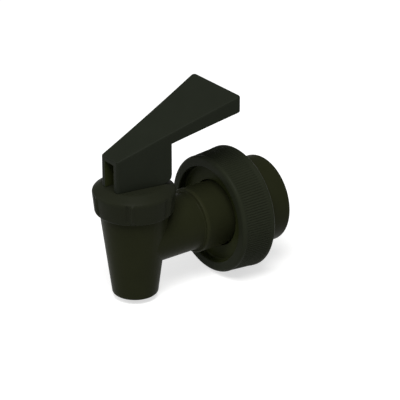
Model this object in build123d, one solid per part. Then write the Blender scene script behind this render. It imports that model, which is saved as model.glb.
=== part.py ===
from build123d import *
import os
from math import cos, pi, radians, sin, tan

# Self-closing lever spigot for a drinks dispenser, moulded in plastic, with a captive ribbed nut.
# Millimetres. The origin is on the inlet axis at the tail's rear face, +Y to the rear, +Z up.
# Pieces are drawn with the spout's axis at Y 0 and moved forward by the reach when written.

# Spout, inlet arm and the sleeve that the nut turns on
reach = 65.5
arm_radius = 11.9
flow_radius = 6.8
collar_distance = 26.5
collar_step = 1.5
sleeve_distance = 43.0
collar_fillet = 0.6
collar_edge = 0.7
spout_top_radius = 13.85
spout_tip_radius = 9.25
spout_drop = 23.4
tip_edge = 1.0
outlet_radius = 6.0
outlet_length = 9.4
body_wall = 2.3
seat_drop = 7.6
seat_radius = 6.4
seat_lip_width = 1.0
seat_lip_height = 1.4
neck_radius = 12.6
neck_wall = 2.0
neck_height = 7.8
rim_gap = 0.3

# Bonnet
bonnet_foot_radius = 15.8
bonnet_top_radius = 17.0
bonnet_height = 12.2
bonnet_shoulder = 4.0
bonnet_foot_round = 0.8
bonnet_roof = 2.0
bonnet_cavity_radius = 9.6
thread_clearance = 0.3
grip_ribs = 6
grip_rib_width = 1.4
grip_rib_height = 0.6
grip_rib_phase = -38.5

# Seat cup, stem and spring
cup_flange_thickness = 1.6
cup_flange_clearance = 0.5
cup_mouth_gap = 0.8
cup_wall = 1.8
cup_plug_radius = 7.2
cup_plug_height = 9.0
cup_floor_thickness = 4.4
cup_nose_depth = 1.2
cup_nose_clearance = 0.5
stem_radius = 2.6
stem_foot_radius = 4.5
stem_foot_height = 2.5
stem_head = 3.2
stem_clearance = 0.4
spring_wire = 0.9
spring_wire_sides = 8
spring_turns = 7
spring_clearance = 0.35
spring_end_gap = 0.05

# Handle
handle_gap = 0.2
base_front = 11.6
base_rear = 12.9
base_width = 10.8
heel_radius = 6.0
base_edge = 1.0
base_corner = 3.0
base_hollow_width = 6.0
base_hollow_depth = 5.0
front_height = 13.34
lever_angle = 19.4
lever_tip = 41.4
lever_tip_width = 31.6
lever_waist = 0.4
lever_front_thickness = 3.2
lever_tip_thickness = 6.8
lever_corner = 1.6
lever_edge = 0.9
lever_wall = 2.0
lever_rib = 1.6
pin_height = 6.1
pin_radius = 1.5
pin_fit = 0.04
pin_end_wall = 1.2
slot_clearance = 0.3
tilt_limit = 20.0

# Coupling nut
nut_front = 36.4
nut_length = 15.2
nut_front_radius = 24.5
nut_rear_radius = 25.6
nut_front_band = 1.8
nut_rear_band = 2.6
nut_front_round = 1.4
nut_rear_chamfer = 0.8
nut_recess_radius = 20.3
nut_recess_depth = 3.5
nut_web = 2.5
nut_thread_radius = 21.8
nut_running_gap = 0.35
nut_ribs = 144
nut_rib_depth = 0.6
nut_rib_inset = 0.15

# Retaining flange, tail plug and gasket
flange_radius = 20.6
flange_thickness = 2.0
inlet_radius = 8.6
plug_relief_radius = 17.4
plug_relief_length = 5.2
plug_land_radius = 18.2
plug_edge = 1.6
plug_wall = 2.0
plug_web = 4.0
plug_ribs = 6
plug_rib_width = 1.6
spigot_radius = 10.4
spigot_length = 9.0
spigot_fit = 0.03
gasket_radius = 20.9
gasket_thickness = 1.6
gasket_fit = 0.1

# Heights above the arm's axis, a station along it and a radius that several pieces share
shoulder_z = arm_radius + rim_gap
neck_z = shoulder_z + neck_height
clamp_z = neck_z + cup_flange_thickness
bonnet_top_z = shoulder_z + bonnet_height
roof_z = bonnet_top_z - bonnet_roof
seat_z = -seat_drop
chamber_floor_z = seat_z - seat_lip_height
cup_floor_z = seat_z + cup_floor_thickness
pin_z = bonnet_top_z + pin_height
handle_foot_z = bonnet_top_z + handle_gap
flange_rear = sleeve_distance + flange_thickness
sleeve_radius = arm_radius + collar_step
overcut = 1.0


def outlined(spots, rounds):
    """Flat face inside a ring of points, some of its corners rounded."""
    face = make_face(Polyline(*spots, close=True))
    for corner, radius in rounds:
        vertex = face.vertices().sort_by_distance(spots[corner])[0]
        face = fillet(vertex, radius)
    return face


def revolved(corners, axis, rounds=()):
    """Turn an outline of (radius, station) corners about the Y or Z axis, some corners rounded."""
    if axis.direction.Z > 0.5:
        spots = [(r, 0, s) for r, s in corners]
    else:
        spots = [(r, s, 0) for r, s in corners]
    return revolve(outlined(spots, rounds), axis, 360)


def along_y(radius, start, end):
    """Round bar on the arm's axis between two stations."""
    return revolved([(0, start), (radius, start), (radius, end), (0, end)], Axis.Y)


def spout_radius(z):
    """Outside radius of the tapered spout at a height."""
    share = (z + spout_drop) / (shoulder_z + spout_drop)
    return spout_tip_radius + (spout_top_radius - spout_tip_radius) * share


def make_spout_body():
    spout = revolved(
        [(0, -spout_drop), (spout_tip_radius, -spout_drop), (spout_top_radius, shoulder_z),
         (neck_radius, shoulder_z), (neck_radius, neck_z), (0, neck_z)],
        Axis.Z, rounds=[(1, tip_edge)])
    arm = revolved(
        [(0, 0), (arm_radius, 0), (arm_radius, collar_distance), (sleeve_radius, collar_distance),
         (sleeve_radius, sleeve_distance), (0, sleeve_distance)],
        Axis.Y, rounds=[(2, collar_fillet), (3, collar_edge)])
    lip_radius = seat_radius + seat_lip_width
    chamber = revolved(
        [(0, -spout_drop - overcut), (outlet_radius, -spout_drop - overcut),
         (outlet_radius, outlet_length - spout_drop), (seat_radius, seat_z),
         (lip_radius, seat_z), (lip_radius, chamber_floor_z),
         (spout_radius(chamber_floor_z) - body_wall, chamber_floor_z),
         (neck_radius - neck_wall, neck_z), (neck_radius - neck_wall, neck_z + overcut),
         (0, neck_z + overcut)],
        Axis.Z)
    water_way = along_y(flow_radius, 0, sleeve_distance)
    socket = along_y(spigot_radius + spigot_fit, sleeve_distance - spigot_length,
                     sleeve_distance + overcut)
    return spout + arm - chamber - water_way - socket


def bonnet_side(z):
    """Outside radius of the bonnet's tapered side at a height."""
    share = (z - shoulder_z) / bonnet_height
    return bonnet_foot_radius + (bonnet_top_radius - bonnet_foot_radius) * share


def make_bonnet():
    bore_radius = neck_radius + thread_clearance
    hole_radius = stem_radius + stem_clearance
    cap = revolved(
        [(bore_radius, shoulder_z), (bonnet_foot_radius, shoulder_z), (bonnet_top_radius, bonnet_top_z),
         (hole_radius, bonnet_top_z), (hole_radius, roof_z), (bonnet_cavity_radius, roof_z),
         (bonnet_cavity_radius, clamp_z), (bore_radius, clamp_z)],
        Axis.Z, rounds=[(1, bonnet_foot_round), (2, bonnet_shoulder)])
    low = shoulder_z + bonnet_foot_round
    high = bonnet_top_z - bonnet_shoulder
    root = grip_rib_height
    band = revolved(
        [(bonnet_side(low) - root, low), (bonnet_side(low) + grip_rib_height, low),
         (bonnet_side(high) + grip_rib_height, high - 2 * grip_rib_height),
         (bonnet_side(high) - root, high)],
        Axis.Z)
    for k in range(grip_ribs):
        blade = Pos(bonnet_top_radius, 0, (low + high) / 2) * Box(
            bonnet_top_radius, grip_rib_width, high - low)
        cap += band & (Rot(0, 0, grip_rib_phase + 360 * k / grip_ribs) * blade)
    return cap


def make_seat_cup():
    flange_radius = neck_radius - cup_flange_clearance
    bell_radius = neck_radius - neck_wall - cup_mouth_gap
    plug_top_z = seat_z + cup_plug_height
    nose_radius = seat_radius - cup_nose_clearance
    return revolved(
        [(0, seat_z - cup_nose_depth), (nose_radius - cup_nose_depth, seat_z - cup_nose_depth),
         (nose_radius, seat_z), (cup_plug_radius, seat_z), (cup_plug_radius, plug_top_z),
         (bell_radius, neck_z), (flange_radius, neck_z), (flange_radius, clamp_z),
         (bell_radius - cup_wall, clamp_z), (cup_plug_radius - cup_wall, plug_top_z),
         (cup_plug_radius - cup_wall, cup_floor_z), (0, cup_floor_z)],
        Axis.Z)


def make_stem():
    foot_top_z = cup_floor_z + stem_foot_height
    top_z = pin_z + stem_head
    rod = revolved(
        [(0, cup_floor_z), (stem_foot_radius, cup_floor_z), (stem_foot_radius, foot_top_z),
         (stem_radius, foot_top_z), (stem_radius, top_z), (0, top_z)],
        Axis.Z, rounds=[(4, stem_radius / 2)])
    hole = Pos(0, 0, pin_z) * Rot(0, 90, 0) * Cylinder(pin_radius + pin_fit, 4 * stem_radius)
    return rod - hole


def make_return_spring():
    coil_radius = stem_radius + spring_clearance + spring_wire / 2
    start_z = cup_floor_z + stem_foot_height + spring_wire / 2 + spring_end_gap
    end_z = roof_z - spring_wire / 2 - spring_end_gap
    path = Pos(0, 0, start_z) * Helix((end_z - start_z) / spring_turns, end_z - start_z, coil_radius)
    section = Plane(path @ 0, z_dir=path % 0) * RegularPolygon(spring_wire / 2, spring_wire_sides)
    return sweep(section, path)


def lever_top(y):
    """Height of the lever's flat top face."""
    return bonnet_top_z + front_height + (y + base_front) * tan(radians(lever_angle))


def lever_section(y, width, thickness, top_drop=0.0):
    """Upright rectangle across the lever, hung from its top face."""
    centre = (0, y, lever_top(y) - top_drop - thickness / 2)
    return Plane(centre, x_dir=(1, 0, 0), z_dir=(0, -1, 0)) * Rectangle(width, thickness)


def lever_share(y, front, tip):
    """Size of the lever at a station, straight from its front value to its tip value."""
    return front + (tip - front) * (y + base_front) / (lever_tip + base_front)


def lever_half(y):
    """Half the lever's width at a station, its hollow sides drawn in by the waist at the middle."""
    share = lever_share(y, 0, 1)
    return lever_share(y, base_width, lever_tip_width) / 2 - 4 * lever_waist * share * (1 - share)


def handle_plan():
    """Upright prism of the handle seen from above: narrow front, hollow flared sides and wide tip."""
    middle = (lever_tip - base_front) / 2
    sides = []
    for hand in (1, -1):
        sides.append(ThreePointArc(
            (hand * base_width / 2, -base_front), (hand * lever_half(middle), middle),
            (hand * lever_tip_width / 2, lever_tip)))
    front = Line(sides[0] @ 0, sides[1] @ 0)
    tip = Line(sides[0] @ 1, sides[1] @ 1)
    plan = make_face([front, tip] + sides)
    plan = fillet(plan.vertices().group_by(Axis.Y)[0], base_edge)
    plan = fillet(plan.vertices().group_by(Axis.Y)[-1], lever_corner)
    return extrude(plan, lever_top(lever_tip))


def handle_slab(corners, width, rounds=()):
    """Slab with a side outline of (station, height) corners, centred on the handle."""
    side = outlined([(0, y, z) for y, z in corners], rounds)
    return extrude(side, width / 2, dir=(1, 0, 0), both=True)


def lever_underside(y):
    """Height of the lever's underside, which thickens to the tip."""
    return lever_top(y) - lever_share(y, lever_front_thickness, lever_tip_thickness)


def make_handle():
    plan = handle_plan()
    front = -base_front - overcut
    end = lever_tip + overcut
    plate = plan & handle_slab(
        [(front, lever_underside(front)), (front, lever_top(front)), (end, lever_top(end)),
         (end, lever_underside(end))], 2 * lever_tip_width)
    top_face = plate.faces().sort_by(lambda face: face.normal_at().Z)[-1]
    plate = fillet(top_face.edges(), lever_edge)

    sink = (lever_front_thickness + lever_edge) / 2
    block = Pos(0, (base_rear + front) / 2) * Rectangle(2 * lever_half(base_rear), base_rear - front)
    block = fillet(block.vertices().group_by(Axis.Y)[-1], base_corner)
    base = plan & extrude(block, lever_top(lever_tip)) & handle_slab(
        [(front, handle_foot_z), (front, lever_top(front) - sink), (base_rear, lever_top(base_rear) - sink),
         (base_rear, handle_foot_z)], 2 * lever_tip_width, rounds=[(3, heel_radius)])
    hollow_end = base_hollow_depth - base_front
    hollow_foot = handle_foot_z - overcut
    base_hollow = handle_slab(
        [(front, hollow_foot), (front, lever_top(front) - lever_wall),
         (hollow_end, lever_top(hollow_end) - lever_wall), (hollow_end, hollow_foot)], base_hollow_width)

    lean = tan(radians(tilt_limit))
    leaned_radius = stem_radius / cos(radians(tilt_limit))
    slot_foot = pin_z - handle_foot_z
    slot_top = stem_head + stem_radius * lean + slot_clearance
    slot_width = 2 * (stem_radius + slot_clearance)
    slot_front = leaned_radius + stem_head * lean + slot_clearance
    slot_rear = leaned_radius + slot_foot * lean + slot_clearance
    slot = Pos(0, (slot_rear - slot_front) / 2, pin_z + (slot_top - slot_foot - overcut) / 2) * Box(
        slot_width, slot_rear + slot_front, slot_top + slot_foot + overcut)
    hole_end = lever_half(0) - pin_end_wall
    hole_length = hole_end + 2 * lever_half(0)
    hole = Pos(hole_end - hole_length / 2, 0, pin_z) * Rot(0, 90, 0) * Cylinder(
        pin_radius + pin_fit, hole_length)
    return plate + base - base_hollow - slot - hole - make_lever_pockets()


def make_lever_pockets():
    """Two hollows under the lever, with a rib between them."""
    near = base_rear + lever_wall
    far = lever_tip - lever_wall
    sections = []
    for y in (near, far):
        width = 2 * (lever_half(y) - lever_wall)
        depth = lever_share(y, lever_front_thickness, lever_tip_thickness)
        sections.append(lever_section(y, width, depth, top_drop=lever_wall))
    rib_height = 2 * lever_top(lever_tip)
    rib = Pos(0, (near + far) / 2, 0) * Box(lever_rib, far - near + overcut, rib_height)
    return loft(sections, ruled=True) - rib


def make_handle_pin():
    blind_end = lever_half(0) - pin_end_wall - pin_fit
    open_end = -lever_half(-pin_radius)
    return Pos((blind_end + open_end) / 2, 0, pin_z) * Rot(0, 90, 0) * Cylinder(
        pin_radius, blind_end - open_end)


def nut_radius(y):
    """Outside radius of the nut's slight taper."""
    return nut_front_radius + (nut_rear_radius - nut_front_radius) * (y - nut_front) / nut_length


def rib_corners(y):
    """Star corners across the nut, points on the taper and valleys inside, alike at every station."""
    scale = nut_radius(y) / nut_front_radius
    radii = (scale * (nut_front_radius - nut_rib_inset), scale * (nut_front_radius - nut_rib_depth))
    corners = []
    for k in range(2 * nut_ribs):
        angle = pi * k / nut_ribs
        corners.append((radii[k % 2] * sin(angle), y, radii[k % 2] * cos(angle)))
    return corners


def make_ribbed_band(start, end):
    """Tapered band of ribs, one flat facet for each flank, closed by its two star outlines."""
    near = rib_corners(start)
    far = rib_corners(end)
    faces = [Face(Wire.make_polygon(near)), Face(Wire.make_polygon(far))]
    for k in range(2 * nut_ribs):
        faces.append(Face(Wire.make_polygon([near[k - 1], near[k], far[k], far[k - 1]])))
    return Solid(Shell(faces))


def make_coupling_nut():
    nut_rear = nut_front + nut_length
    web_front = nut_front + nut_recess_depth
    web_rear = web_front + nut_web
    band_start = nut_front + nut_front_band
    band_end = nut_rear - nut_rear_band
    bore_radius = sleeve_radius + nut_running_gap
    front = revolved(
        [(0, nut_front), (nut_front_radius, nut_front), (nut_radius(band_start), band_start),
         (0, band_start)],
        Axis.Y, rounds=[(1, nut_front_round)])
    rear = revolved(
        [(0, band_end), (nut_radius(band_end), band_end), (nut_rear_radius, nut_rear - nut_rear_chamfer),
         (nut_rear_radius - nut_rear_chamfer, nut_rear), (0, nut_rear)], Axis.Y)
    ribbed = make_ribbed_band(band_start, band_end)
    recess = along_y(nut_recess_radius, nut_front - overcut, web_front)
    bore = along_y(bore_radius, web_front - overcut, web_rear + overcut)
    thread = along_y(nut_thread_radius, web_rear, nut_rear + overcut)
    return front + ribbed + rear - recess - bore - thread


def make_retaining_flange():
    inside = spigot_radius + spigot_fit
    return revolved(
        [(inside, sleeve_distance), (flange_radius, sleeve_distance), (flange_radius, flange_rear),
         (inside, flange_rear)], Axis.Y)


def make_tail_plug():
    land_start = flange_rear + gasket_thickness + plug_relief_length
    spigot_start = sleeve_distance - spigot_length
    plug = revolved(
        [(inlet_radius, spigot_start), (spigot_radius, spigot_start), (spigot_radius, flange_rear),
         (plug_relief_radius, flange_rear), (plug_relief_radius, land_start), (plug_land_radius, land_start),
         (plug_land_radius, reach), (inlet_radius, reach)],
        Axis.Y, rounds=[(6, plug_edge)])
    core_inside = inlet_radius + plug_wall
    core_outside = plug_relief_radius - plug_wall
    core_start = flange_rear + plug_web
    hollow = revolved(
        [(core_inside, core_start), (core_outside, core_start), (core_outside, reach + overcut),
         (core_inside, reach + overcut)], Axis.Y)
    for k in range(plug_ribs):
        blade = Pos(0, (core_start + reach) / 2, plug_land_radius / 2) * Box(
            plug_rib_width, reach - core_start + 4 * overcut, plug_land_radius)
        hollow -= Rot(0, 360 * k / plug_ribs, 0) * blade
    return plug - hollow


def make_tail_gasket():
    inside = plug_relief_radius + gasket_fit
    gasket_rear = flange_rear + gasket_thickness
    return revolved(
        [(inside, flange_rear), (gasket_radius, flange_rear), (gasket_radius, gasket_rear),
         (inside, gasket_rear)], Axis.Y)


pieces = {
    "spout_body": make_spout_body,
    "bonnet": make_bonnet,
    "seat_cup": make_seat_cup,
    "stem": make_stem,
    "return_spring": make_return_spring,
    "handle": make_handle,
    "handle_pin": make_handle_pin,
    "coupling_nut": make_coupling_nut,
    "retaining_flange": make_retaining_flange,
    "tail_plug": make_tail_plug,
    "tail_gasket": make_tail_gasket,
}

os.makedirs("parts", exist_ok=True)
for node, make in pieces.items():
    export_step(Pos(0, -reach, 0) * make(), f"parts/{node}.step")
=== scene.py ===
from math import cos, pi, radians, sin

import bmesh
import bpy
import numpy as np
from bpy.props import FloatProperty, IntProperty, PointerProperty, StringProperty
from mathutils import Matrix, Vector


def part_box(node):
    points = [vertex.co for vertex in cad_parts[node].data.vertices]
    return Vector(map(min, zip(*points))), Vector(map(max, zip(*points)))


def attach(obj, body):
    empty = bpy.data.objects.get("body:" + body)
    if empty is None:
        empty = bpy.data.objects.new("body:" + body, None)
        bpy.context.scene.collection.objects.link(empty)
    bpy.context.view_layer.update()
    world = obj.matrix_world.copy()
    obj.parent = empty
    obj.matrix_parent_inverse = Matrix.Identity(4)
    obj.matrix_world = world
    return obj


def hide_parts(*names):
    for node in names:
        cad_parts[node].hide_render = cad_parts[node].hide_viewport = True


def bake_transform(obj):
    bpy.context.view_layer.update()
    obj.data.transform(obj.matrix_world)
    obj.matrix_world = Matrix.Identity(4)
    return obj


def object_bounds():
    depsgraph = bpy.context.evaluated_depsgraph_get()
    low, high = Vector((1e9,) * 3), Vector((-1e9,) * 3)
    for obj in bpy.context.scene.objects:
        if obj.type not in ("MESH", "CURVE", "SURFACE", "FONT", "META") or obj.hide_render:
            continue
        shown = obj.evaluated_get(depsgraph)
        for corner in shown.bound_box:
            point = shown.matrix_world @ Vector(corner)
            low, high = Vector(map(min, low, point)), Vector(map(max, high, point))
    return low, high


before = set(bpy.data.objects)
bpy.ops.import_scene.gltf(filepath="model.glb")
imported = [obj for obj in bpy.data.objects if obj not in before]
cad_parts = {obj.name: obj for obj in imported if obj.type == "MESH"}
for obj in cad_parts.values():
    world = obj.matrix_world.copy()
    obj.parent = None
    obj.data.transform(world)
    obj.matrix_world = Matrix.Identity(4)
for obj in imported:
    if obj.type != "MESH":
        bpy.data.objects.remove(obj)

bl_info = {
    "name": "Lever Spigot",
    "version": (1, 0, 0),
    "blender": (4, 5, 0),
    "location": "3D View > Sidebar > Spigot",
    "description": "Dresses a lever spigot: ribbed nut, screw bonnet, seat cup, spring, materials and studio",
    "category": "Add Mesh",
}

MM = 0.001
CAD_BOX = [list(corner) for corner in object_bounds()]
FRAME_PIXELS = 400

# Meshes: turn between two points of a rounded corner, bend that shows as a crease, least length that counts
ARC_STEP = radians(15)
CREASE = radians(40)
HAIR = 0.01 * MM
# How far a second colour reaches past its faces
EDGE = 0.1 * MM
# A colour mix's sockets, by number because other kinds of mix have the same names
MIX_SHARE, MIX_FIRST, MIX_SECOND, MIX_COLOUR = 0, 6, 7, 2
# Point that the camera and the lamps turn about
CENTRE = Vector((0, -35 * MM, 10 * MM))

# Places that the frame gives: the ends of nut, bonnet, seat cup and spring, the handle's front and foot, and
# the stem's upright axis
NUT_LOW, NUT_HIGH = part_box("coupling_nut")
BONNET_LOW, BONNET_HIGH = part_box("bonnet")
CUP_LOW, CUP_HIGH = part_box("seat_cup")
SPRING_LOW, SPRING_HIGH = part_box("return_spring")
HANDLE_LOW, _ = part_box("handle")
STEM_LOW, STEM_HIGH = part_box("stem")
STEM_Y = (STEM_LOW.y + STEM_HIGH.y) / 2


class NutSettings(bpy.types.PropertyGroup):
    """Sizes of the ribbed coupling nut."""
    front_radius: FloatProperty(
        name="Front radius", description="Outside radius at the front edge", default=24.5 * MM, unit="LENGTH")
    rear_radius: FloatProperty(
        name="Rear radius", description="Outside radius at the rear edge", default=25.6 * MM, unit="LENGTH")
    front_round: FloatProperty(
        name="Front round", description="Radius of the rounded front edge", default=1.4 * MM, unit="LENGTH")
    rear_chamfer: FloatProperty(
        name="Rear chamfer", description="Width of the bevelled rear edge", default=0.8 * MM, unit="LENGTH")
    recess_radius: FloatProperty(
        name="Recess radius", description="Radius of the hollow in the front",
        default=20.3 * MM, unit="LENGTH")
    recess_depth: FloatProperty(
        name="Recess depth", description="Depth of the hollow in the front", default=3.5 * MM, unit="LENGTH")
    recess_round: FloatProperty(
        name="Recess round", description="Radius of the hollow's rim", default=0.5 * MM, unit="LENGTH")
    recess_fillet: FloatProperty(
        name="Recess fillet", description="Radius round the hollow's floor", default=0.8 * MM, unit="LENGTH")
    web: FloatProperty(
        name="Web", description="Thickness of the inner wall", default=2.5 * MM, unit="LENGTH")
    bore_radius: FloatProperty(
        name="Bore radius", description="Hole in the inner wall for the sleeve",
        default=13.75 * MM, unit="LENGTH")
    bore_front_round: FloatProperty(
        name="Bore front round", description="Radius of the bore's front edge",
        default=0.4 * MM, unit="LENGTH")
    bore_rear_round: FloatProperty(
        name="Bore rear round", description="Radius of the bore's rear edge", default=0.3 * MM, unit="LENGTH")
    thread_radius: FloatProperty(
        name="Thread radius", description="Middle radius of the inside thread",
        default=21.8 * MM, unit="LENGTH")
    thread_pitch: FloatProperty(
        name="Thread pitch", description="Rise of the thread in one turn", default=3.0 * MM, unit="LENGTH")
    thread_depth: FloatProperty(
        name="Thread depth", description="Depth of the thread, crest to root",
        default=0.9 * MM, unit="LENGTH")
    ribs: IntProperty(name="Ribs", description="Number of grip ribs round the nut", default=144, min=12)
    rib_inset: FloatProperty(
        name="Rib inset", description="How far the ribs' tops lie below the smooth bands",
        default=0.1 * MM, unit="LENGTH")
    rib_depth: FloatProperty(
        name="Rib depth", description="Depth of the grooves below the smooth bands",
        default=0.4 * MM, unit="LENGTH")
    front_band: FloatProperty(
        name="Front band", description="Smooth width before the ribs", default=1.8 * MM, unit="LENGTH")
    rear_band: FloatProperty(
        name="Rear band", description="Smooth width behind the ribs", default=2.6 * MM, unit="LENGTH")
    fade: FloatProperty(
        name="Fade", description="Length in which ribs and thread begin and end",
        default=0.5 * MM, unit="LENGTH")


class BonnetSettings(bpy.types.PropertyGroup):
    """Sizes of the screw bonnet."""
    foot_radius: FloatProperty(
        name="Foot radius", description="Outside radius at the foot", default=15.8 * MM, unit="LENGTH")
    top_radius: FloatProperty(
        name="Top radius", description="Outside radius that the side leans out to",
        default=17.0 * MM, unit="LENGTH")
    shoulder: FloatProperty(
        name="Shoulder", description="Width of the sloping edge round the top",
        default=4.2 * MM, unit="LENGTH")
    shoulder_drop: FloatProperty(
        name="Shoulder drop", description="Height of the sloping edge round the top",
        default=2.7 * MM, unit="LENGTH")
    foot_gap: FloatProperty(
        name="Foot gap", description="Dark line left open under the foot", default=0.5 * MM, unit="LENGTH")
    shoulder_round: FloatProperty(
        name="Shoulder round", description="Radius where the slope meets top and side",
        default=1.5 * MM, unit="LENGTH")
    foot_round: FloatProperty(
        name="Foot round", description="Radius of the rounded bottom edge", default=0.8 * MM, unit="LENGTH")
    bore_radius: FloatProperty(
        name="Bore radius", description="Hole that screws on to the neck", default=12.9 * MM, unit="LENGTH")
    cavity_radius: FloatProperty(
        name="Cavity radius", description="Hollow above the neck, for the spring",
        default=9.6 * MM, unit="LENGTH")
    hole_radius: FloatProperty(
        name="Stem hole", description="Hole in the roof for the stem", default=3.0 * MM, unit="LENGTH")
    roof: FloatProperty(name="Roof", description="Thickness of the roof", default=2.0 * MM, unit="LENGTH")
    bore_depth: FloatProperty(
        name="Bore depth", description="Height of the screwed bore", default=9.4 * MM, unit="LENGTH")
    ribs: IntProperty(name="Grip ribs", description="Number of upright grip ribs", default=6, min=1)
    rib_width: FloatProperty(
        name="Rib width", description="Width of a grip rib at its foot", default=2.2 * MM, unit="LENGTH")
    rib_height: FloatProperty(
        name="Rib height", description="How far a grip rib stands proud", default=0.6 * MM, unit="LENGTH")
    groove_depth: FloatProperty(
        name="Groove depth", description="Depth of the groove beside a grip rib",
        default=0.5 * MM, unit="LENGTH")
    rib_turn: FloatProperty(
        name="Rib turn", description="Turn of the first rib from the right",
        default=radians(-37), unit="ROTATION")
    rib_fade: FloatProperty(
        name="Rib fade", description="Height in which a grip rib begins and ends",
        default=0.8 * MM, unit="LENGTH")
    hole_round: FloatProperty(
        name="Hole round", description="Radius of the edges of bore and stem hole",
        default=0.3 * MM, unit="LENGTH")


class ValveSettings(bpy.types.PropertyGroup):
    """Sizes of the soft seat cup and of its return spring."""
    flange_radius: FloatProperty(
        name="Flange radius", description="Radius of the clamped rim", default=12.1 * MM, unit="LENGTH")
    flange: FloatProperty(
        name="Flange", description="Thickness of the clamped rim", default=1.6 * MM, unit="LENGTH")
    bell_radius: FloatProperty(
        name="Bell radius", description="Outside radius of the bell below the rim",
        default=9.8 * MM, unit="LENGTH")
    wall: FloatProperty(name="Wall", description="Thickness of the bell", default=1.8 * MM, unit="LENGTH")
    plug_radius: FloatProperty(
        name="Plug radius", description="Outside radius of the plug on the seat",
        default=7.2 * MM, unit="LENGTH")
    plug_height: FloatProperty(
        name="Plug height", description="Height of the plug, seat to bell", default=9.0 * MM, unit="LENGTH")
    floor: FloatProperty(
        name="Floor", description="Thickness under the stem's foot", default=4.4 * MM, unit="LENGTH")
    nose_radius: FloatProperty(
        name="Nose radius", description="Radius of the nose in the seat's mouth",
        default=5.9 * MM, unit="LENGTH")
    nose_depth: FloatProperty(
        name="Nose depth", description="Depth of the nose below the seat", default=1.2 * MM, unit="LENGTH")
    soft_edge: FloatProperty(
        name="Soft edge", description="Radius of the cup's moulded edges", default=0.4 * MM, unit="LENGTH")
    wire: FloatProperty(
        name="Wire", description="Thickness of the spring's wire", default=0.9 * MM, unit="LENGTH")
    coil_radius: FloatProperty(
        name="Coil radius", description="Radius at the middle of the wire", default=3.4 * MM, unit="LENGTH")
    turns: IntProperty(name="Turns", description="Turns of the spring", default=7, min=1)


class FinishSettings(bpy.types.PropertyGroup):
    """Colours, as sRGB hex values."""
    body: StringProperty(name="Spout body", description="Colour of spout, arm and tail", default="#212315")
    # Bonnet, handle and nut: the olive plastic greyed by a painted sheen
    bonnet: StringProperty(name="Bonnet", description="Colour of the screw bonnet", default="#1F2118")
    handle: StringProperty(name="Handle", description="Colour of the lever", default="#1E211A")
    nut: StringProperty(name="Nut", description="Colour of the coupling nut", default="#23261C")
    # Insides: a lighter olive painted into the nut's hollow and the handle's channel, painted light where
    # their shade falls
    inside: StringProperty(
        name="Insides", description="Colour of the nut's hollow and the handle's channel", default="#2B2F19")
    # Collar edge colour: a painted highlight, a lighter band on the collar's edge
    painted_highlight: StringProperty(
        name="Rubbed collar", description="Colour of the collar's edge, where the loose nut rubs",
        default="#282A1A")
    stem: StringProperty(name="Stem", description="Colour of the stem's acetal", default="#E4E1D8")
    silicone: StringProperty(name="Silicone", description="Colour of the seat cup", default="#E6E3D9")
    rubber: StringProperty(name="Gasket", description="Colour of the gasket's rubber", default="#1A1A1A")
    steel: StringProperty(name="Steel", description="Colour of spring and pin", default="#C9C7C3")
    floor: StringProperty(name="Floor", description="Colour of the studio floor", default="#CFCFCE")


class PlaceSettings(bpy.types.PropertyGroup):
    """Places that have a second colour: painted light in the handle's front channel, and a painted highlight
    on the edge of the arm's collar.
    """
    channel_width: FloatProperty(
        name="Channel width", description="Width of the handle's front channel",
        default=6.0 * MM, unit="LENGTH")
    channel_depth: FloatProperty(
        name="Channel depth", description="Depth of the handle's front channel",
        default=5.0 * MM, unit="LENGTH")
    channel_height: FloatProperty(
        name="Channel height", description="Height of the channel at the front",
        default=11.1 * MM, unit="LENGTH")
    collar: FloatProperty(
        name="Collar", description="Collar's front, behind the stem's axis", default=26.5 * MM, unit="LENGTH")
    # Width of the band on the collar's edge that carries the painted highlight
    collar_edge: FloatProperty(
        name="Collar edge", description="Width of the collar's rubbed edge", default=1.5 * MM, unit="LENGTH")


class StageSettings(bpy.types.PropertyGroup):
    """Camera, light and floor."""
    azimuth: FloatProperty(
        name="Azimuth", description="Camera's turn from the front towards the right",
        default=radians(53.1), unit="ROTATION")
    elevation: FloatProperty(
        name="Elevation", description="Camera's height angle", default=radians(25.13), unit="ROTATION")
    distance: FloatProperty(
        name="Distance", description="Camera to the aim point", default=0.863, unit="LENGTH")
    near: FloatProperty(
        name="Near limit", description="Nearest distance that the camera shows", default=0.01, unit="LENGTH")
    pixels_per_mm: FloatProperty(
        name="Pixels per mm", description="Size of a millimetre at the aim point in the photo's frame",
        default=2.477)
    shown_x: FloatProperty(
        name="Middle across", description="Pixel column where the part's middle shows", default=196.0)
    shown_y: FloatProperty(
        name="Middle down", description="Pixel row where the part's middle shows", default=195.8)
    world: FloatProperty(name="Room light", description="Strength of the even white room", default=0.22)
    key: FloatProperty(
        name="Key light", description="Power of the softbox above the camera", default=5.4, unit="POWER")
    fill: FloatProperty(
        name="Fill light", description="Power of the softbox low on the left", default=1.0, unit="POWER")
    key_azimuth: FloatProperty(
        name="Key azimuth", description="Key light's turn from the front towards the right",
        default=radians(48), unit="ROTATION")
    key_elevation: FloatProperty(
        name="Key elevation", description="Key light's height angle", default=radians(60), unit="ROTATION")
    fill_azimuth: FloatProperty(
        name="Fill azimuth", description="Fill light's turn from the front towards the right",
        default=radians(-45), unit="ROTATION")
    fill_elevation: FloatProperty(
        name="Fill elevation", description="Fill light's height angle", default=radians(25), unit="ROTATION")
    lamp_distance: FloatProperty(
        name="Lamp distance", description="Lamps to the part's middle", default=0.75, unit="LENGTH")
    lamp_size: FloatProperty(
        name="Lamp size", description="Width of the square softboxes", default=0.4, unit="LENGTH")
    floor_half: FloatProperty(
        name="Floor reach", description="Half the width of the square floor", default=3.0, unit="LENGTH")
    floor_glow: FloatProperty(
        name="Floor glow", description="White added to the floor where the camera or a gloss sees it",
        default=0.65)


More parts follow.
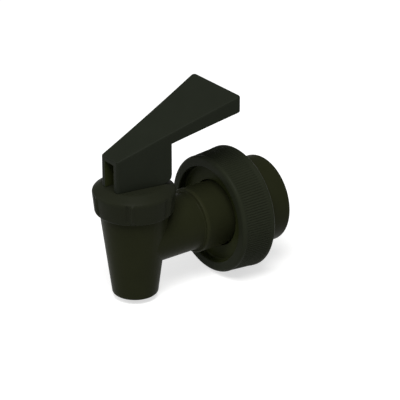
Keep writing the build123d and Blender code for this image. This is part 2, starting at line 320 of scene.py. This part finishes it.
def linear(hex_colour):
    """Linear RGBA of an sRGB hex value."""
    srgb = np.array([int(hex_colour[i:i + 2], 16) for i in (1, 3, 5)]) / 255
    rgb = np.where(srgb <= 0.04045, srgb / 12.92, ((srgb + 0.055) / 1.055) ** 2.4)
    return (*rgb.tolist(), 1.0)


def add_node(tree, kind, inputs, **settings):
    """Add one shader node, with its settings, its values and the sockets that feed it."""
    made = tree.nodes.new(kind)
    for key, value in settings.items():
        setattr(made, key, value)
    for key, value in inputs.items():
        if isinstance(value, bpy.types.NodeSocket):
            tree.links.new(value, made.inputs[key])
        else:
            made.inputs[key].default_value = value
    return made


def new_material(name):
    """An empty node material, and its tree."""
    material = bpy.data.materials.new(name)
    material.use_nodes = True
    material.node_tree.nodes.clear()
    return material, material.node_tree


def piece_material(name):
    """An empty node material, its tree and the place on the piece."""
    material, tree = new_material(name)
    return material, tree, add_node(tree, "ShaderNodeTexCoord", {}).outputs["Object"]


def calc(tree, operation, *values):
    """Socket with the result of one sum on values and sockets."""
    return add_node(tree, "ShaderNodeMath", dict(enumerate(values)), operation=operation).outputs[0]


def noise(tree, place, size, detail):
    """Socket with noise from 0 to 1, whose blots are about the given size."""
    made = add_node(tree, "ShaderNodeTexNoise", {"Vector": place, "Scale": 1 / size, "Detail": detail})
    return made.outputs["Fac"]


def bumped(tree, height, strength, depth):
    """Socket with the normal of a surface that a pattern raises by up to a depth."""
    made = add_node(tree, "ShaderNodeBump", {"Height": height, "Strength": strength, "Distance": depth})
    return made.outputs["Normal"]


def spread(tree, value, low, high, start=0.0, end=1.0):
    """Socket that goes from low to high while a value goes from start to end."""
    made = add_node(tree, "ShaderNodeMapRange", {
        "Value": value, "From Min": start, "From Max": end, "To Min": low, "To Max": high})
    return made.outputs["Result"]


def mixed(tree, share, first, second):
    """Socket with a colour between two."""
    made = add_node(tree, "ShaderNodeMix", {
        MIX_SHARE: share, MIX_FIRST: first, MIX_SECOND: second}, data_type="RGBA")
    return made.outputs[MIX_COLOUR]


def lighter(colour, times):
    """A linear colour that many times as light."""
    return (*(min(1.0, times * value) for value in colour[:3]), 1.0)


def principled(tree, inputs):
    """Give a material's tree its shader and output."""
    shader = add_node(tree, "ShaderNodeBsdfPrincipled", inputs)
    add_node(tree, "ShaderNodeOutputMaterial", {"Surface": shader.outputs["BSDF"]})


def smoothstep(x, low, high):
    """0 below low, 1 above high, and the cubic 3t2 - 2t3 between them."""
    t = np.clip((x - low) / (high - low), 0, 1)
    return t * t * (3 - 2 * t)


def rounded_outline(corners, step):
    """Closed outline through (radius, station, round, step) corners, as two arrays.

    A corner with a round becomes an arc that touches both its sides. Each straight run is divided evenly
    into pieces no longer than the step of the corner before it, or else the given one.
    """
    spots = np.array([corner[:2] for corner in corners])
    pieces = []
    ends = []
    for k, here in enumerate(spots):
        bend = corners[k][2]
        back = spots[k - 1] - here
        ahead = spots[(k + 1) % len(spots)] - here
        back = back / np.linalg.norm(back)
        ahead = ahead / np.linalg.norm(ahead)
        if bend == 0:
            pieces.append(here[None])
            continue
        half = np.arccos(np.clip(back @ ahead, -1, 1)) / 2
        middle = here + (back + ahead) / np.linalg.norm(back + ahead) * bend / np.sin(half)
        first = here + back * bend / np.tan(half) - middle
        last = here + ahead * bend / np.tan(half) - middle
        sweep = np.arctan2(first[0] * last[1] - first[1] * last[0], first @ last)
        turn = np.linspace(0, sweep, max(3, int(abs(sweep) / ARC_STEP) + 2))[:, None]
        across = np.array([-first[1], first[0]])
        pieces.append(middle + first * np.cos(turn) + across * np.sin(turn))
    for k, piece in enumerate(pieces):
        start = piece[-1]
        end = pieces[(k + 1) % len(pieces)][0]
        longest = corners[k][3] if len(corners[k]) > 3 else step
        count = max(1, int(np.ceil(np.linalg.norm(end - start) / longest)))
        share = np.arange(1, count)[:, None] / count
        ends.append(np.concatenate([piece, start + (end - start) * share]))
    outline = np.concatenate(ends)
    return outline[:, 0], outline[:, 1]


def ring_mesh(name, points):
    """Mesh of a grid of points that closes both ways: rows go round the axis, columns round the section."""
    rows, columns = points.shape[:2]
    i, j = np.meshgrid(np.arange(rows), np.arange(columns), indexing="ij")
    after_i = (i + 1) % rows
    after_j = (j + 1) % columns
    around = [i * columns + j, i * columns + after_j, after_i * columns + after_j, after_i * columns + j]
    quads = np.stack(around, -1).reshape(-1, 4)
    flat = points.reshape(-1, 3)
    a, b, c, d = (flat[quads[:, k]] for k in range(4))
    if np.einsum("ij,ij->", (a + b + c + d), np.cross(c - a, d - b)) < 0:
        quads = quads[:, ::-1]
    mesh = bpy.data.meshes.new(name)
    mesh.vertices.add(len(flat))
    mesh.vertices.foreach_set("co", flat.astype(np.float32).ravel())
    mesh.loops.add(quads.size)
    mesh.loops.foreach_set("vertex_index", quads.astype(np.int32).ravel())
    mesh.polygons.add(len(quads))
    mesh.polygons.foreach_set("loop_start", np.arange(0, quads.size, 4, dtype=np.int32))
    mesh.update(calc_edges=True)
    mesh.validate()
    mesh.shade_smooth()
    mesh.set_sharp_from_angle(angle=CREASE)
    return mesh


def tube_mesh(name, points):
    """Mesh of a grid of points whose rows are rings, with a flat cap on the first and the last."""
    rows, columns = points.shape[:2]
    i, j = np.meshgrid(np.arange(rows - 1), np.arange(columns), indexing="ij")
    start = i * columns + j
    beside = i * columns + (j + 1) % columns
    quads = np.stack([start, beside, beside + columns, start + columns], -1).reshape(-1, 4)
    ends = [list(range(columns)), list(range((rows - 1) * columns, rows * columns))]
    shape = bmesh.new()
    spots = [shape.verts.new(spot) for spot in points.reshape(-1, 3)]
    for face in quads.tolist() + ends:
        shape.faces.new([spots[k] for k in face])
    bmesh.ops.recalc_face_normals(shape, faces=shape.faces)
    mesh = bpy.data.meshes.new(name)
    shape.to_mesh(mesh)
    shape.free()
    mesh.shade_smooth()
    mesh.set_sharp_from_angle(angle=CREASE)
    return mesh


def add_piece(name, mesh, material, node):
    """Show a mesh as a piece that stands for a CAD node."""
    mesh.materials.append(material)
    piece = bpy.data.objects.new(name, mesh)
    bpy.context.scene.collection.objects.link(piece)
    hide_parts(node)
    return piece


# Marks the nut's hollow, which gets painted light
def nut_hollow_painted_light(tree, place, radius):
    """Socket that is 1 within a radius of the inlet axis."""
    across = add_node(tree, "ShaderNodeVectorMath", {0: place, 1: (1, 0, 1)}, operation="MULTIPLY")
    away = add_node(tree, "ShaderNodeVectorMath", {0: across.outputs["Vector"]}, operation="LENGTH")
    return calc(tree, "LESS_THAN", away.outputs["Value"], radius)


# Marks the handle's channel, which gets painted light
def channel_painted_light(tree, place, half, rear, top):
    """Socket that is 1 in the handle's front channel: inside its half width, rear and top."""
    spot = add_node(tree, "ShaderNodeSeparateXYZ", {"Vector": place}).outputs
    across = calc(tree, "LESS_THAN", calc(tree, "ABSOLUTE", spot["X"]), half)
    along = calc(tree, "LESS_THAN", spot["Y"], rear)
    under = calc(tree, "LESS_THAN", spot["Z"], top)
    return calc(tree, "MULTIPLY", calc(tree, "MULTIPLY", across, along), under)


# Marks the collar's edge band, which gets a painted highlight
def collar_highlight_mask(tree, place, start, end):
    """Socket that is 1 between two stations along the inlet axis."""
    station = add_node(tree, "ShaderNodeSeparateXYZ", {"Vector": place}).outputs["Y"]
    before_start = calc(tree, "LESS_THAN", station, start)
    return calc(tree, "SUBTRACT", calc(tree, "LESS_THAN", station, end), before_start)


def moulded_polypropylene(name, hex_colour, second=None, where=None, limits=()):
    """Polypropylene from a spark-eroded mould: dark and satin, its gloss broken by a fine even grain.

    The second colour is painted light: a lighter olive painted into the nut's hollow and the handle's
    channel, where shade falls, and a painted highlight on the collar's edge.
    It lies where one of the functions above is 1 within its limits. The greyer colours given for bonnet,
    handle and nut carry a painted sheen over the olive plastic.
    """
    material, tree, place = piece_material(name)
    # Grain of 0.45 mm, coarser than a real mould's so that it shows
    grain = noise(tree, place, 0.45 * MM, 2.0)
    # Clouds of 9 mm where the melt cooled at different speeds: a shade duller or lighter
    cloud = noise(tree, place, 9 * MM, 3.0)
    dark = linear(hex_colour)
    tint = mixed(tree, cloud, dark, lighter(dark, 1.25))
    # Second colour: painted light in the hollows, or a painted highlight on the collar's edge
    if second:
        tint = mixed(tree, where(tree, place, *limits), tint, linear(second))
    # Its faces mirror next to nothing of a white room, so the mirror light is low
    principled(tree, {
        "Base Color": tint, "Roughness": spread(tree, cloud, 0.36, 0.44, 0.3, 0.7), "IOR": 1.49,
        "Specular IOR Level": 0.02, "Normal": bumped(tree, grain, 0.2, 0.05 * MM)})
    return material


def moulded_acetal(name, hex_colour):
    """Natural acetal, moulded: milky white, waxy and faintly glossy."""
    material, tree, place = piece_material(name)
    cloud = noise(tree, place, 4 * MM, 2.0)
    principled(tree, {
        "Base Color": linear(hex_colour), "Roughness": spread(tree, cloud, 0.28, 0.4), "IOR": 1.48,
        "Subsurface Weight": 0.2, "Subsurface Scale": 0.5 * MM})
    return material


def moulded_silicone(name, hex_colour):
    """Translucent silicone rubber: milky, soft-edged light inside, dull skin with a fine texture."""
    material, tree, place = piece_material(name)
    skin = noise(tree, place, 0.6 * MM, 2.0)
    principled(tree, {
        "Base Color": linear(hex_colour), "Roughness": 0.45, "IOR": 1.41, "Subsurface Weight": 0.5,
        "Subsurface Scale": 1.5 * MM, "Normal": bumped(tree, skin, 0.15, 0.04 * MM)})
    return material


def cut_rubber(name, hex_colour):
    """Black sheet rubber, cut to a ring: matte, with a slight speckle of filler."""
    material, tree, place = piece_material(name)
    speckle = noise(tree, place, 0.4 * MM, 3.0)
    dark = linear(hex_colour)
    principled(tree, {
        "Base Color": mixed(tree, speckle, dark, lighter(dark, 1.6)), "Roughness": 0.75, "IOR": 1.52,
        "Normal": bumped(tree, speckle, 0.3, 0.05 * MM)})
    return material


def drawn_stainless(name, hex_colour, axis):
    """Stainless steel drawn through a die: bright, with fine lines along the draw that break its gloss."""
    material, tree, place = piece_material(name)
    # Lines 0.15 mm wide and 6 mm long
    stretch = [1 / (0.15 * MM)] * 3
    stretch["XYZ".index(axis)] = 1 / (6 * MM)
    drawn = add_node(tree, "ShaderNodeMapping", {"Vector": place, "Scale": stretch})
    lines = noise(tree, drawn.outputs["Vector"], 1.0, 2.0)
    principled(tree, {
        "Base Color": linear(hex_colour), "Metallic": 1.0, "Roughness": spread(tree, lines, 0.2, 0.4),
        "Normal": bumped(tree, lines, 0.1, 0.02 * MM)})
    return material


def nut_points(size):
    """Points of the coupling nut: its section turned about the inlet axis, with ribs and an inside thread.

    Outside, the radius is lowered by inset + (depth - inset)(1 - |sin(n a / 2)|), which makes n round ribs
    with sharp grooves, faded in and out at the ribbed band's ends. Inside, it is lowered by a rounded
    trapezium wave of (station / pitch - turn), which is a screw thread, faded out at both its ends.
    """
    front = NUT_LOW.y
    rear = NUT_HIGH.y
    web_front = front + size.recess_depth
    web_rear = web_front + size.web
    edge = size.rear_chamfer
    fade = size.fade
    plain_step, rib_step, thread_step = 1.0 * MM, 0.6 * MM, 0.32 * MM
    radius, station = rounded_outline([
        (size.recess_radius, front, size.recess_round),
        (size.front_radius, front, size.front_round, rib_step),
        (size.rear_radius, rear - edge, 0),
        (size.rear_radius - edge, rear, 0),
        (size.thread_radius + edge / 2, rear, 0),
        (size.thread_radius, rear - edge / 2, 0, thread_step),
        (size.thread_radius, web_rear, 0),
        (size.bore_radius, web_rear, size.bore_rear_round),
        (size.bore_radius, web_front, size.bore_front_round),
        (size.recess_radius, web_front, size.recess_fillet),
    ], plain_step)
    points_per_rib = 6
    rows = points_per_rib * size.ribs
    turn = np.arange(rows)[:, None] * (2 * pi / rows)
    outer = (radius > size.front_radius - size.rib_depth)[None]
    band_start = front + size.front_band
    band_end = rear - size.rear_band
    begun = smoothstep(station, band_start - fade, band_start)
    ribbed = outer * begun * smoothstep(-station, -band_end - fade, -band_end)
    groove = size.rib_inset + (size.rib_depth - size.rib_inset) * (1 - np.abs(np.sin(size.ribs * turn / 2)))
    wave = 2 * np.abs((station[None] / size.thread_pitch - turn / (2 * pi)) % 1 - 0.5)
    flank_start, flank_end = 0.35, 0.75
    crest = smoothstep(wave, flank_start, flank_end) - 0.5
    inner = (np.abs(radius - size.thread_radius) < HAIR)[None]
    begun = smoothstep(station, web_rear + fade, web_rear + 4 * fade)
    threaded = inner * begun * smoothstep(-station, -rear + edge / 2, -rear + edge)
    reach = radius[None] - ribbed * groove - threaded * size.thread_depth * crest
    across = np.broadcast_to(station[None], reach.shape)
    return np.stack([reach * np.sin(turn), across, reach * np.cos(turn)], -1)


def bonnet_points(size):
    """Points of the screw bonnet: its section turned about the stem's axis, with soft upright ribs.

    Each rib adds height x cos^2 of the distance along the side, over its width, faded at foot and shoulder.
    The groove on its left takes away depth x cos^2 in the same way, one width further on.
    """
    foot = BONNET_LOW.z + size.foot_gap
    top = BONNET_HIGH.z
    clamp = BONNET_LOW.z + size.bore_depth
    high = top - size.shoulder_drop
    lean = (size.top_radius - size.foot_radius) / (top - foot)
    plain_step, side_step, top_step = 1.5 * MM, 0.45 * MM, 1.2 * MM
    radius, station = rounded_outline([
        (size.bore_radius, foot, size.hole_round),
        (size.foot_radius, foot, size.foot_round, side_step),
        (size.top_radius - lean * size.shoulder_drop, high, size.shoulder_round),
        (size.top_radius - size.shoulder, top, size.shoulder_round, top_step),
        (size.hole_radius, top, size.hole_round),
        (size.hole_radius, top - size.roof, 0),
        (size.cavity_radius, top - size.roof, 0),
        (size.cavity_radius, clamp, 0),
        (size.bore_radius, clamp, 0),
    ], plain_step)
    rows = 540
    turn = np.arange(rows)[:, None] * (2 * pi / rows)
    low = foot + size.foot_round
    side_depth = 0.5 * MM
    side = (radius > size.foot_radius - side_depth)[None]
    begun = smoothstep(station, low, low + size.rib_fade)
    upright = side * begun * smoothstep(-station, -high, -high + size.rib_fade)
    gap = 2 * pi / size.ribs
    away = ((turn - size.rib_turn + gap / 2) % gap - gap / 2) * size.top_radius / size.rib_width
    rib, groove = (np.cos(pi * np.clip(away + aside, -0.5, 0.5)) ** 2 for aside in (0, 1))
    reach = radius[None] + upright * (size.rib_height * rib - size.groove_depth * groove)
    height = np.broadcast_to(station[None], reach.shape)
    return np.stack([reach * np.cos(turn), STEM_Y + reach * np.sin(turn), height], -1)


def cup_points(size):
    """Points of the seat cup: a plug, a bell and a clamped rim, one outline turned about the stem's axis.

    At height z and turn a, a point of the outline at radius r is (r cos a, r sin a, z) from the axis. The
    outline's points on the axis itself are left out, and the two flat caps close it there.
    """
    seat = CUP_LOW.z + size.nose_depth
    bell = seat + size.plug_height
    rim = CUP_HIGH.z - size.flange
    soft = size.soft_edge
    step = 0.8 * MM
    radius, height = rounded_outline([
        (0, CUP_LOW.z, 0),
        (size.nose_radius - size.nose_depth, CUP_LOW.z, soft),
        (size.nose_radius, seat, 0),
        (size.plug_radius, seat, soft),
        (size.plug_radius, bell, soft),
        (size.bell_radius, rim, soft),
        (size.flange_radius, rim, 0),
        (size.flange_radius, CUP_HIGH.z, 0),
        (size.bell_radius - size.wall, CUP_HIGH.z, soft),
        (size.plug_radius - size.wall, bell, soft),
        (size.plug_radius - size.wall, seat + size.floor, soft),
        (0, seat + size.floor, 0),
    ], step)
    solid = radius > HAIR
    radius = radius[solid][:, None]
    height = height[solid][:, None]
    columns = 96
    turn = np.arange(columns)[None] * (2 * pi / columns)
    spots = np.broadcast_arrays(radius * np.cos(turn), STEM_Y + radius * np.sin(turn), height)
    return np.stack(spots, -1)


def spring_points(size):
    """Points of the return spring: a round wire on the helix (R cos t, R sin t, p t) about the stem's axis.

    Round the wire, a point lies r (n cos b + m sin b) from the helix, where n points away from the axis and
    m is square to n and to the helix.
    """
    low = SPRING_LOW.z + size.wire / 2
    high = SPRING_HIGH.z - size.wire / 2
    full = 2 * pi * size.turns
    rows_per_turn, columns = 32, 12
    t = np.linspace(0, full, rows_per_turn * size.turns + 1)[:, None]
    b = np.arange(columns)[None] * (2 * pi / columns)
    rise = (high - low) / full
    slope = np.hypot(size.coil_radius, rise)
    out = size.coil_radius + size.wire / 2 * np.cos(b)
    along = size.wire / 2 * np.sin(b) * rise / slope
    up = size.wire / 2 * np.sin(b) * size.coil_radius / slope
    x = out * np.cos(t) + along * np.sin(t)
    y = STEM_Y + out * np.sin(t) - along * np.cos(t)
    return np.stack([x, y, low + rise * t + up], -1)


class SPIGOT_OT_nut(bpy.types.Operator):
    """Make the ribbed coupling nut with its inside thread"""
    bl_idname = "spigot.coupling_nut"
    bl_label = "Coupling nut"

    def execute(self, context):
        size = context.scene.spigot_nut
        colours = context.scene.spigot_finish
        mesh = ring_mesh("ribbed_coupling_nut", nut_points(size))
        # The nut's hollow gets the lighter inside colour: painted light
        material = moulded_polypropylene(
            "black_polypropylene_nut", colours.nut, colours.inside, nut_hollow_painted_light, [size.recess_radius + EDGE])
        nut = add_piece("ribbed_coupling_nut", mesh, material, "coupling_nut")
        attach(nut, "nut")
        return {"FINISHED"}


class SPIGOT_OT_bonnet(bpy.types.Operator):
    """Make the screw bonnet with its grip ribs"""
    bl_idname = "spigot.bonnet"
    bl_label = "Bonnet"

    def execute(self, context):
        mesh = ring_mesh("grip_bonnet", bonnet_points(context.scene.spigot_bonnet))
        material = moulded_polypropylene("black_polypropylene_bonnet", context.scene.spigot_finish.bonnet)
        bonnet = add_piece("grip_bonnet", mesh, material, "bonnet")
        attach(bonnet, "root")
        return {"FINISHED"}


class SPIGOT_OT_valve(bpy.types.Operator):
    """Make the seat cup and its spring at rest; in the valve their tops stay clamped and their bottoms lift
    with the stem
    """
    bl_idname = "spigot.valve"
    bl_label = "Seat cup and spring"

    def execute(self, context):
        size = context.scene.spigot_valve
        colours = context.scene.spigot_finish
        milky = moulded_silicone("milky_silicone", colours.silicone)
        mesh = tube_mesh("soft_seat_cup", cup_points(size))
        cup = add_piece("soft_seat_cup", mesh, milky, "seat_cup")
        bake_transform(cup)
        bright = drawn_stainless("stainless_spring_wire", colours.steel, "Z")
        mesh = tube_mesh("coiled_return_spring", spring_points(size))
        spring = add_piece("coiled_return_spring", mesh, bright, "return_spring")
        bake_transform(spring)
        return {"FINISHED"}


class SPIGOT_OT_finish(bpy.types.Operator):
    """Give each piece that the frame keeps its own material"""
    bl_idname = "spigot.finish"
    bl_label = "Finish kept pieces"

    def execute(self, context):
        colours = context.scene.spigot_finish
        places = context.scene.spigot_places
        # The collar's edge band gets a painted highlight, and the handle's channel gets painted light
        front = STEM_Y + places.collar
        collar = [front - EDGE, front + places.collar_edge]
        channel = [places.channel_width / 2 + EDGE, HANDLE_LOW.y + places.channel_depth + EDGE,
                   HANDLE_LOW.z + places.channel_height + EDGE]
        body = moulded_polypropylene(
            "black_polypropylene_body", colours.body, colours.painted_highlight, collar_highlight_mask, collar)
        finishes = {
            "spout_body": body,
            "retaining_flange": body,
            "tail_plug": body,
            "handle": moulded_polypropylene(
                "black_polypropylene_handle", colours.handle, colours.inside, channel_painted_light, channel),
            "stem": moulded_acetal("white_acetal", colours.stem),
            "handle_pin": drawn_stainless("stainless_pin", colours.steel, "X"),
            "tail_gasket": cut_rubber("black_sheet_rubber", colours.rubber),
        }
        for name, material in finishes.items():
            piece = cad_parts[name]
            piece.data.materials.clear()
            piece.data.materials.append(material)
        return {"FINISHED"}


def direction(azimuth, elevation):
    """Unit vector turned from the front towards the right, and raised from the ground."""
    return Vector((sin(azimuth) * cos(elevation), -cos(azimuth) * cos(elevation), sin(elevation)))


def add_floor(scene):
    """Pale paper floor that the part stands on, which the camera sees with a white glow added."""
    view = scene.spigot_stage
    half = view.floor_half
    ground = CAD_BOX[0][2]
    corners = [(-half, -half, ground), (half, -half, ground), (half, half, ground), (-half, half, ground)]
    mesh = bpy.data.meshes.new("studio_floor")
    mesh.from_pydata(corners, [], [(0, 1, 2, 3)])
    floor = bpy.data.objects.new("studio_floor", mesh)
    scene.collection.objects.link(floor)
    material, tree = new_material("white_paper_floor")
    paper = add_node(tree, "ShaderNodeBsdfDiffuse", {"Color": linear(scene.spigot_finish.floor)})
    path = add_node(tree, "ShaderNodeLightPath", {}).outputs
    seen = path["Is Camera Ray"]
    for ray in ("Is Glossy Ray", "Is Transmission Ray"):
        seen = calc(tree, "MAXIMUM", seen, path[ray])
    glow = add_node(tree, "ShaderNodeEmission", {"Strength": calc(tree, "MULTIPLY", seen, view.floor_glow)})
    both = add_node(tree, "ShaderNodeAddShader", {0: paper.outputs["BSDF"], 1: glow.outputs["Emission"]})
    add_node(tree, "ShaderNodeOutputMaterial", {"Surface": both.outputs["Shader"]})
    mesh.materials.append(material)


def add_room(scene):
    """Even white room light."""
    world = bpy.data.worlds.new("studio_white")
    scene.world = world
    world.use_nodes = True
    tree = world.node_tree
    tree.nodes.clear()
    background = add_node(tree, "ShaderNodeBackground", {
        "Color": (1, 1, 1, 1), "Strength": scene.spigot_stage.world})
    add_node(tree, "ShaderNodeOutputWorld", {"Surface": background.outputs["Background"]})


def add_lamps(scene):
    """Key softbox above the camera, and a weaker one low on the left."""
    view = scene.spigot_stage
    lamps = [("key_softbox", direction(view.key_azimuth, view.key_elevation), view.key),
             ("fill_softbox", direction(view.fill_azimuth, view.fill_elevation), view.fill)]
    for name, away, power in lamps:
        light = bpy.data.lights.new(name, "AREA")
        light.shape = "SQUARE"
        light.size = view.lamp_size
        light.energy = power
        lamp = bpy.data.objects.new(name, light)
        lamp.location = CENTRE + away * view.lamp_distance
        lamp.rotation_euler = (-away).to_track_quat("-Z", "Y").to_euler()
        scene.collection.objects.link(lamp)


def add_camera(scene):
    """Camera at the photo's angle, aimed so that the part's middle shows where it does in the photo."""
    view = scene.spigot_stage
    back = direction(view.azimuth, view.elevation)
    right = Vector((cos(view.azimuth), sin(view.azimuth), 0))
    up = back.cross(right)
    pixel = MM / view.pixels_per_mm
    middle = FRAME_PIXELS / 2
    aim = CENTRE + right * (middle - view.shown_x) * pixel - up * (middle - view.shown_y) * pixel
    data = bpy.data.cameras.new("photo_camera")
    data.lens = data.sensor_width * view.pixels_per_mm * view.distance / MM / FRAME_PIXELS
    data.clip_start = view.near
    camera = bpy.data.objects.new("photo_camera", data)
    turn = Matrix((right, up, back)).transposed().to_4x4()
    camera.matrix_world = Matrix.Translation(aim + back * view.distance) @ turn
    scene.collection.objects.link(camera)
    scene.camera = camera


class SPIGOT_OT_stage(bpy.types.Operator):
    """Add the floor, the room light, the softboxes and the camera"""
    bl_idname = "spigot.stage"
    bl_label = "Studio"

    def execute(self, context):
        scene = context.scene
        add_floor(scene)
        add_room(scene)
        add_lamps(scene)
        add_camera(scene)
        scene.view_settings.view_transform = "Standard"
        return {"FINISHED"}


class SPIGOT_PT_panel(bpy.types.Panel):
    """Buttons for the spigot's pieces"""
    bl_idname = "SPIGOT_PT_panel"
    bl_label = "Lever spigot"
    bl_space_type = "VIEW_3D"
    bl_region_type = "UI"
    bl_category = "Spigot"

    def draw(self, context):
        for operator in OPERATORS:
            self.layout.operator(operator.bl_idname)


SETTINGS = {
    "spigot_nut": NutSettings,
    "spigot_bonnet": BonnetSettings,
    "spigot_valve": ValveSettings,
    "spigot_finish": FinishSettings,
    "spigot_places": PlaceSettings,
    "spigot_stage": StageSettings,
}
OPERATORS = (SPIGOT_OT_nut, SPIGOT_OT_bonnet, SPIGOT_OT_valve, SPIGOT_OT_finish, SPIGOT_OT_stage)
CLASSES = (*SETTINGS.values(), *OPERATORS, SPIGOT_PT_panel)


def register():
    """Add the settings, operators and panel to Blender."""
    for cls in CLASSES:
        bpy.utils.register_class(cls)
    for name, group in SETTINGS.items():
        setattr(bpy.types.Scene, name, PointerProperty(type=group))


def unregister():
    """Take them out again."""
    for name in SETTINGS:
        delattr(bpy.types.Scene, name)
    for cls in reversed(CLASSES):
        bpy.utils.unregister_class(cls)


def main():
    """Build the dressed spigot and its studio."""
    register()
    bpy.ops.spigot.coupling_nut()
    bpy.ops.spigot.bonnet()
    bpy.ops.spigot.valve()
    bpy.ops.spigot.finish()
    bpy.ops.spigot.stage()


if __name__ == "__main__":
    main()
